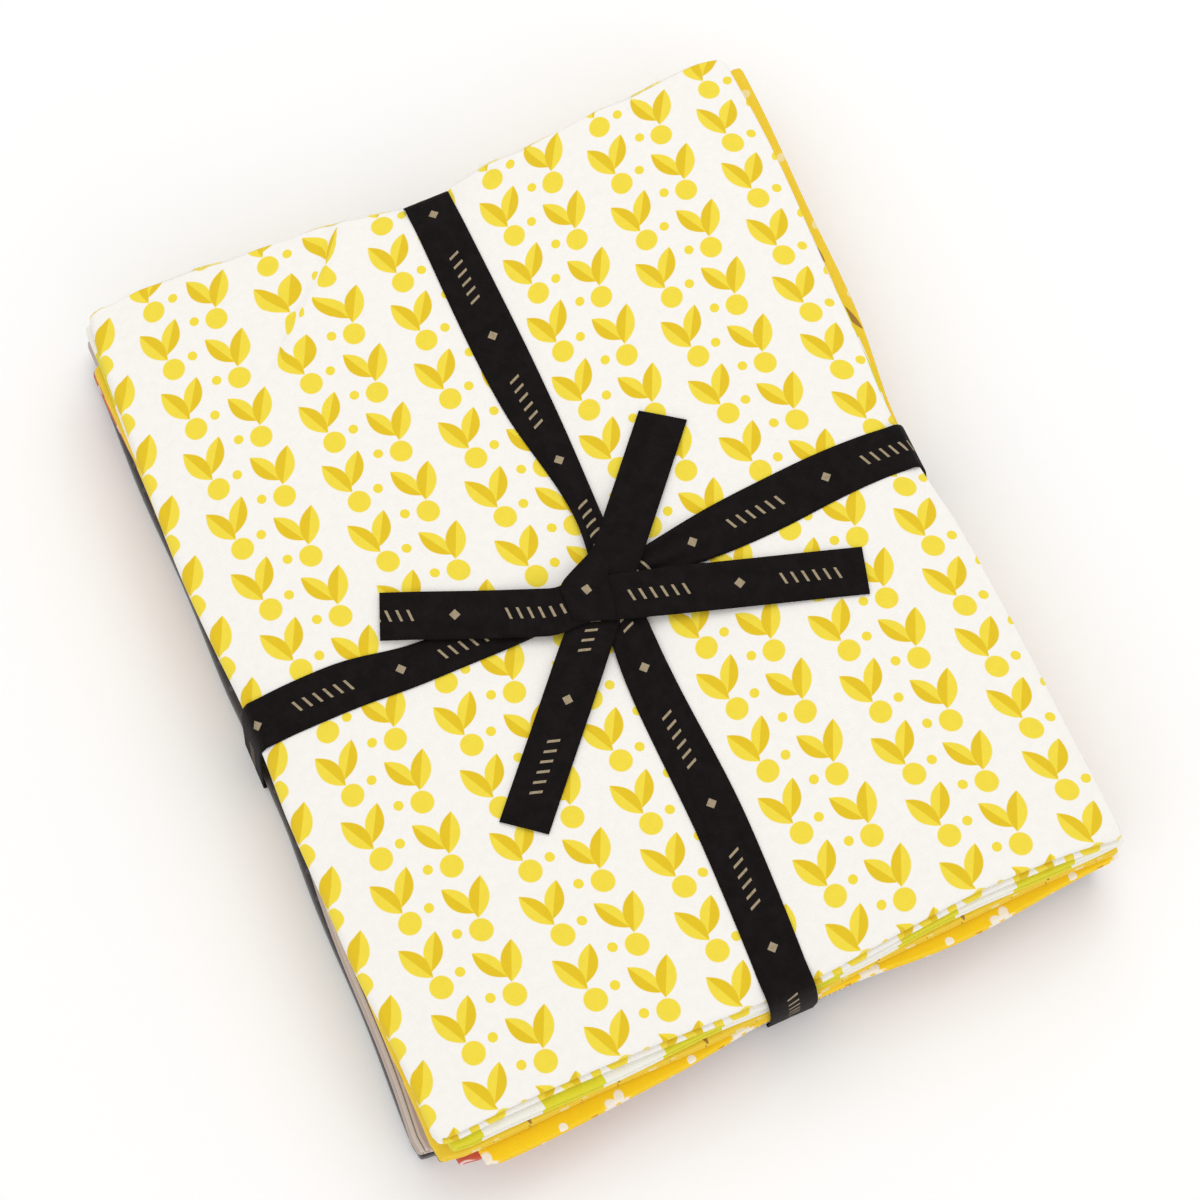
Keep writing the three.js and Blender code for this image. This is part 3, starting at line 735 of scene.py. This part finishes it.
def flower(tree, cell, at, radius):
    """A flower of round petals with an open middle."""
    centred = moved(tree, cell, at, 0, (radius, radius))
    x, y, _ = add(tree, "SeparateXYZ", {0: centred})
    angle = add(tree, "Math", {0: y, 1: x}, operation="ARCTAN2")[0]
    turns = add(tree, "Math", {0: angle, 1: PETALS / 2}, operation="MULTIPLY")[0]
    wave = add(tree, "Math", {0: turns}, operation="COSINE")[0]
    full = add(tree, "Math", {0: wave}, operation="ABSOLUTE")[0]
    edge = add(tree, "Math", {0: full, 1: 0.5, 2: 0.5}, operation="MULTIPLY_ADD")[0]
    away = add(tree, "VectorMath", {0: centred}, operation="LENGTH")[1]
    petals = inside(tree, add(tree, "Math", {0: away, 1: edge}, operation="DIVIDE")[0], PETAL_EDGE)
    open_heart = add(tree, "MapRange", enumerate((away, *HEART, 0.0, 1.0)))[0]
    return add(tree, "Math", {0: petals, 1: open_heart}, operation="MULTIPLY")[0]


def motif_coats(tree, place, design):
    """The masks of a print's motifs, each with its ink."""
    cell, dropped = half_drop(tree, place, *design["repeat"])
    if "mirrored" in design:
        x, y, _ = add(tree, "SeparateXYZ", {0: cell})
        facing = add(tree, "Math", {0: dropped, 1: -2.0, 2: 1.0}, operation="MULTIPLY_ADD")[0]
        turned = add(tree, "Math", {0: x, 1: facing}, operation="MULTIPLY")[0]
        cell = add(tree, "CombineXYZ", {0: turned, 1: y})[0]
    coats, halves = [], []
    for row in design.get("leaves", ()):
        whole, half = leaf(tree, cell, row["at"], row["turn"], row["size"])
        coats.append((whole, row["ink"]))
        if "half_ink" in row:
            halves.append((half, row["half_ink"]))
    for row in design.get("flowers", ()):
        coats.append((flower(tree, cell, row["at"], row["radius"]), row["ink"]))
    for row in design.get("spots", ()):
        coats.append((spot(tree, cell, row["at"], row["radius"]), row["ink"]))
    return coats + halves


def print_coats(tree, place, look):
    """The masks of a cotton's print, each with its ink, from the first printed to the last."""
    if "blocks" in look:
        checks = add(tree, "TexChecker", {0: place, 3: 1 / look["blocks"]["side"]})[1]
        return [(checks, look["blocks"]["ink"])]
    if "stripes" in look:
        u, _, _ = add(tree, "SeparateXYZ", {0: place})
        inside_u = add(tree, "Math", {0: u, 1: look["stripes"]["repeat"]}, operation="FLOORED_MODULO")[0]
        coats = []
        for bar in look["stripes"]["bars"]:
            stripe = add(tree, "Math", {0: inside_u, 1: bar["at"], 2: bar["half"]}, operation="COMPARE")[0]
            coats.append((stripe, bar["ink"]))
        return coats
    return motif_coats(tree, place, look["motifs"])


def layered(tree, ground, coats):
    """A ground colour with printed colours over it, each where its mask is 1."""
    color = ground
    for mask, ink in coats:
        color = add(tree, "Mix", {0: mask, 6: color, 7: ink}, data_type="RGBA")[2]
    return color


def cloth_material(name, surface):
    """A material with a surface, its nodes, its shader, and the place on the flat cloth in millimetres."""
    material = bpy.data.materials.new(name)
    material.use_nodes = True
    tree = material.node_tree
    shader = tree.nodes["Principled BSDF"]
    for socket, value in surface.items():
        shader.inputs[socket].default_value = value
    chart = add(tree, "TexCoord")["UV"]
    place = add(tree, "Mapping", {0: chart, 3: (1 / MM, 1 / MM, 1 / MM)})[0]
    return material, tree, shader, place


def ribs(tree, along, pitch):
    """A wave from -1 to 1 with a pitch in millimetres."""
    turns = add(tree, "Math", {0: along, 1: 2 * math.pi / pitch}, operation="MULTIPLY")[0]
    return add(tree, "Math", {0: turns}, operation="SINE")[0]


def cotton(name, look, ground, inks):
    """Quilting cotton, plain woven and pigment printed: matte, with a faint sheen and a fine even weave."""
    material, tree, shader, place = cloth_material(name, COTTON_SURFACE)
    shader.inputs["Sheen Weight"].default_value = look.get("sheen", COTTON_SHEEN)
    coats = [(mask, linear(inks[ink])) for mask, ink in print_coats(tree, place, look)]
    color = layered(tree, linear(ground), coats)
    slub = add(tree, "TexNoise", {0: place, **SLUB})[0]
    shade = add(tree, "MapRange", enumerate((slub, *SLUB_RANGE, *SLUB_SHADE)))[0]
    shaded = add(tree, "VectorMath", {0: color, 3: shade}, operation="SCALE")[0]
    u, v, _ = add(tree, "SeparateXYZ", {0: place})
    warp, weft = ribs(tree, u, THREAD_PITCH), ribs(tree, v, THREAD_PITCH)
    weave = add(tree, "Math", {0: warp, 1: weft}, operation="MULTIPLY")[0]
    height = add(tree, "Math", {0: slub, 1: SLUB_RELIEF, 2: weave}, operation="MULTIPLY_ADD")[0]
    bump = add(tree, "Bump", {**COTTON_BUMP, "Height": height})[0]
    rough = add(tree, "MapRange", enumerate((weave, -1.0, 1.0, *COTTON_ROUGH)))[0]
    for socket, value in (("Base Color", shaded), ("Normal", bump), ("Roughness", rough)):
        tree.links.new(value, shader.inputs[socket])
    return material


def tape_marks(tree, u, v):
    """1 on the printed marks of the tape."""
    inside_u = add(tree, "Math", {0: u, 1: MARK_REPEAT}, operation="FLOORED_MODULO")[0]
    off = add(tree, "Math", {0: v, 1: TAPE_WIDTH / 2}, operation="SUBTRACT")[0]
    high = add(tree, "Math", {0: off}, operation="ABSOLUTE")[0]
    slant = add(tree, "Math", {0: off, 1: BAR["slant"], 2: inside_u}, operation="MULTIPLY_ADD")[0]
    stroke = add(tree, "Math", {0: slant, 1: BAR["pitch"]}, operation="FLOORED_MODULO")[0]
    narrow = add(tree, "Math", {0: stroke, 1: BAR["width"]}, operation="LESS_THAN")[0]
    short = add(tree, "Math", {0: high, 1: BAR["half_length"]}, operation="LESS_THAN")[0]
    group = add(tree, "Math", {0: slant, 1: BAR_GROUP["at"], 2: BAR_GROUP["half"]}, operation="COMPARE")[0]
    bar = add(tree, "Math", {0: narrow, 1: short}, operation="MULTIPLY")[0]
    bars = add(tree, "Math", {0: bar, 1: group}, operation="MULTIPLY")[0]
    from_middle = add(tree, "Math", {0: inside_u, 1: DIAMOND["at"]}, operation="SUBTRACT")[0]
    sideways = add(tree, "Math", {0: from_middle}, operation="ABSOLUTE")[0]
    measure = add(tree, "Math", {0: sideways, 1: high}, operation="ADD")[0]
    diamond = add(tree, "Math", {0: measure, 1: DIAMOND["half"]}, operation="LESS_THAN")[0]
    return add(tree, "Math", {0: bars, 1: diamond}, operation="MAXIMUM")[0]


def woven_tape(name, printed):
    """Woven cotton tape, near black: matte, finely ribbed across, with small dull gold marks on its face."""
    material, tree, shader, place = cloth_material(name, TAPE_SURFACE)
    u, v, _ = add(tree, "SeparateXYZ", {0: place})
    fibre = add(tree, "TexNoise", {0: place, **FIBRE})[0]
    # Broad mottle of lighter and darker black at random: partly the tape's uneven tone, partly painted sheen.
    mottle_and_sheen = add(tree, "TexNoise", {0: place, **MOTTLE_AND_SHEEN})[0]
    tone = add(tree, "MapRange", enumerate((mottle_and_sheen, *MOTTLE_AND_SHEEN_RANGE, 0.0, 1.0)))[0]
    color = layered(tree, linear(TAPE_TONES[0]), [(tone, linear(TAPE_TONES[1]))])
    if printed:
        rubbed = add(tree, "MapRange", enumerate((fibre, *RUB_RANGE, RUBBED_INK, 1.0)))[0]
        mask = add(tree, "Math", {0: tape_marks(tree, u, v), 1: rubbed}, operation="MULTIPLY")[0]
        color = layered(tree, color, [(mask, linear(MARK_INK))])
    rib = ribs(tree, u, RIB_PITCH)
    height = add(tree, "Math", {0: fibre, 1: FIBRE_RELIEF, 2: rib}, operation="MULTIPLY_ADD")[0]
    bump = add(tree, "Bump", {**TAPE_BUMP, "Height": height})[0]
    rough = add(tree, "MapRange", enumerate((fibre, *FIBRE_RANGE, *TAPE_ROUGH)))[0]
    for socket, value in (("Base Color", color), ("Normal", bump), ("Roughness", rough)):
        tree.links.new(value, shader.inputs[socket])
    return material


# The seven quarters.
for index, row in enumerate(QUARTERS):
    name = row["name"]
    shown_step = TOP_STEP if "edges" in row else HIDDEN_STEP
    across = folded_stations(FOLD_WIDTH / 2, 0, shown_step, LEFT_FOLD_STEPS)
    along = folded_stations(FOLD_LENGTH / 2, 1, shown_step, NEAR_FOLD_STEPS)
    bm = bmesh.new()
    add_grid(bm, *fold_quarter(row, index, across, along))
    look = COTTONS[name]
    face = cotton(f"printed_cotton_{name}", look, look["ground"], look["inks"])
    pale_ground = paler(look["ground"], WRONG_SIDE)
    pale_inks = [paler(ink, WRONG_SIDE) for ink in look["inks"]]
    wrong = cotton(f"cotton_wrong_side_{name}", look, pale_ground, pale_inks)
    cloth = add_sheet(f"cloth_{name}", bm, CLOTH_THICK, face, wrong)
    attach(cloth, "root")
    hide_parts(f"quarter_{name}")

# The two tapes. The one along the bundle binds the knot.
tape_face = woven_tape("woven_tape_printed", True)
tape_back = woven_tape("woven_tape_plain", False)
for name, ends in (("long", ("up", "down")), ("cross", ("left", "right"))):
    bm = bmesh.new()
    length = add_loop(bm, name)
    length += sum(add_tail(bm, TAILS[end]) for end in ends)
    if name == "long":
        length += add_wrap(bm)
    bmesh.ops.remove_doubles(bm, verts=bm.verts, dist=WELD * MM)
    tape = add_sheet(f"tape_{name}", bm, TAPE_THICK, tape_face, tape_back)
    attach(tape, "root")
    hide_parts(f"ribbon_{name}")

# Pale floor of matte white paper, soft studio light and the camera, in metres, watts and degrees.
FLOOR_HALF = 4
FLOOR_SURFACE = {"Base Color": linear("#fefefe"), "Roughness": 0.9}
WORLD_LIGHT = {"Color": linear("#faf9f8"), "Strength": 0.76}
LIGHTS = [
    {"name": "key", "at": (0.55, 0.75, 1.5), "size": 1.3, "watts": 9},
    {"name": "fill", "at": (-1.1, -0.5, 1.3), "size": 1.4, "watts": 3},
    {"name": "front", "at": (0.2, -1.4, 0.6), "size": 1.4, "watts": 3},
]
CAMERA = {"at": (-0.10707, -0.24696, 0.84676), "azimuth": 24.0, "elevation": 72.12,
          "lens_mm": 84.9, "sensor_mm": 36}

paper = bpy.data.materials.new("white_paper")
paper.use_nodes = True
for socket, value in FLOOR_SURFACE.items():
    paper.node_tree.nodes["Principled BSDF"].inputs[socket].default_value = value
bm = bmesh.new()
bmesh.ops.create_grid(bm, x_segments=1, y_segments=1, size=FLOOR_HALF)
add_object("floor", bm, [paper])

scene = bpy.context.scene
scene.view_settings.view_transform = "Standard"
scene.world = bpy.data.worlds.new("studio")
scene.world.use_nodes = True
for socket, value in WORLD_LIGHT.items():
    scene.world.node_tree.nodes["Background"].inputs[socket].default_value = value

for row in LIGHTS:
    lamp = bpy.data.lights.new(row["name"], "AREA")
    lamp.size = row["size"]
    lamp.energy = row["watts"]
    holder = bpy.data.objects.new(row["name"], lamp)
    holder.location = row["at"]
    holder.rotation_euler = (-Vector(row["at"])).to_track_quat("-Z", "Y").to_euler()
    scene.collection.objects.link(holder)

camera_data = bpy.data.cameras.new("camera")
camera_data.lens = CAMERA["lens_mm"]
camera_data.sensor_width = CAMERA["sensor_mm"]
camera = bpy.data.objects.new("camera", camera_data)
camera.location = CAMERA["at"]
azimuth, elevation = math.radians(CAMERA["azimuth"]), math.radians(CAMERA["elevation"])
level = math.cos(elevation)
ahead = Vector((math.sin(azimuth) * level, math.cos(azimuth) * level, -math.sin(elevation)))
camera.rotation_euler = ahead.to_track_quat("-Z", "Y").to_euler()
scene.collection.objects.link(camera)
scene.camera = camera
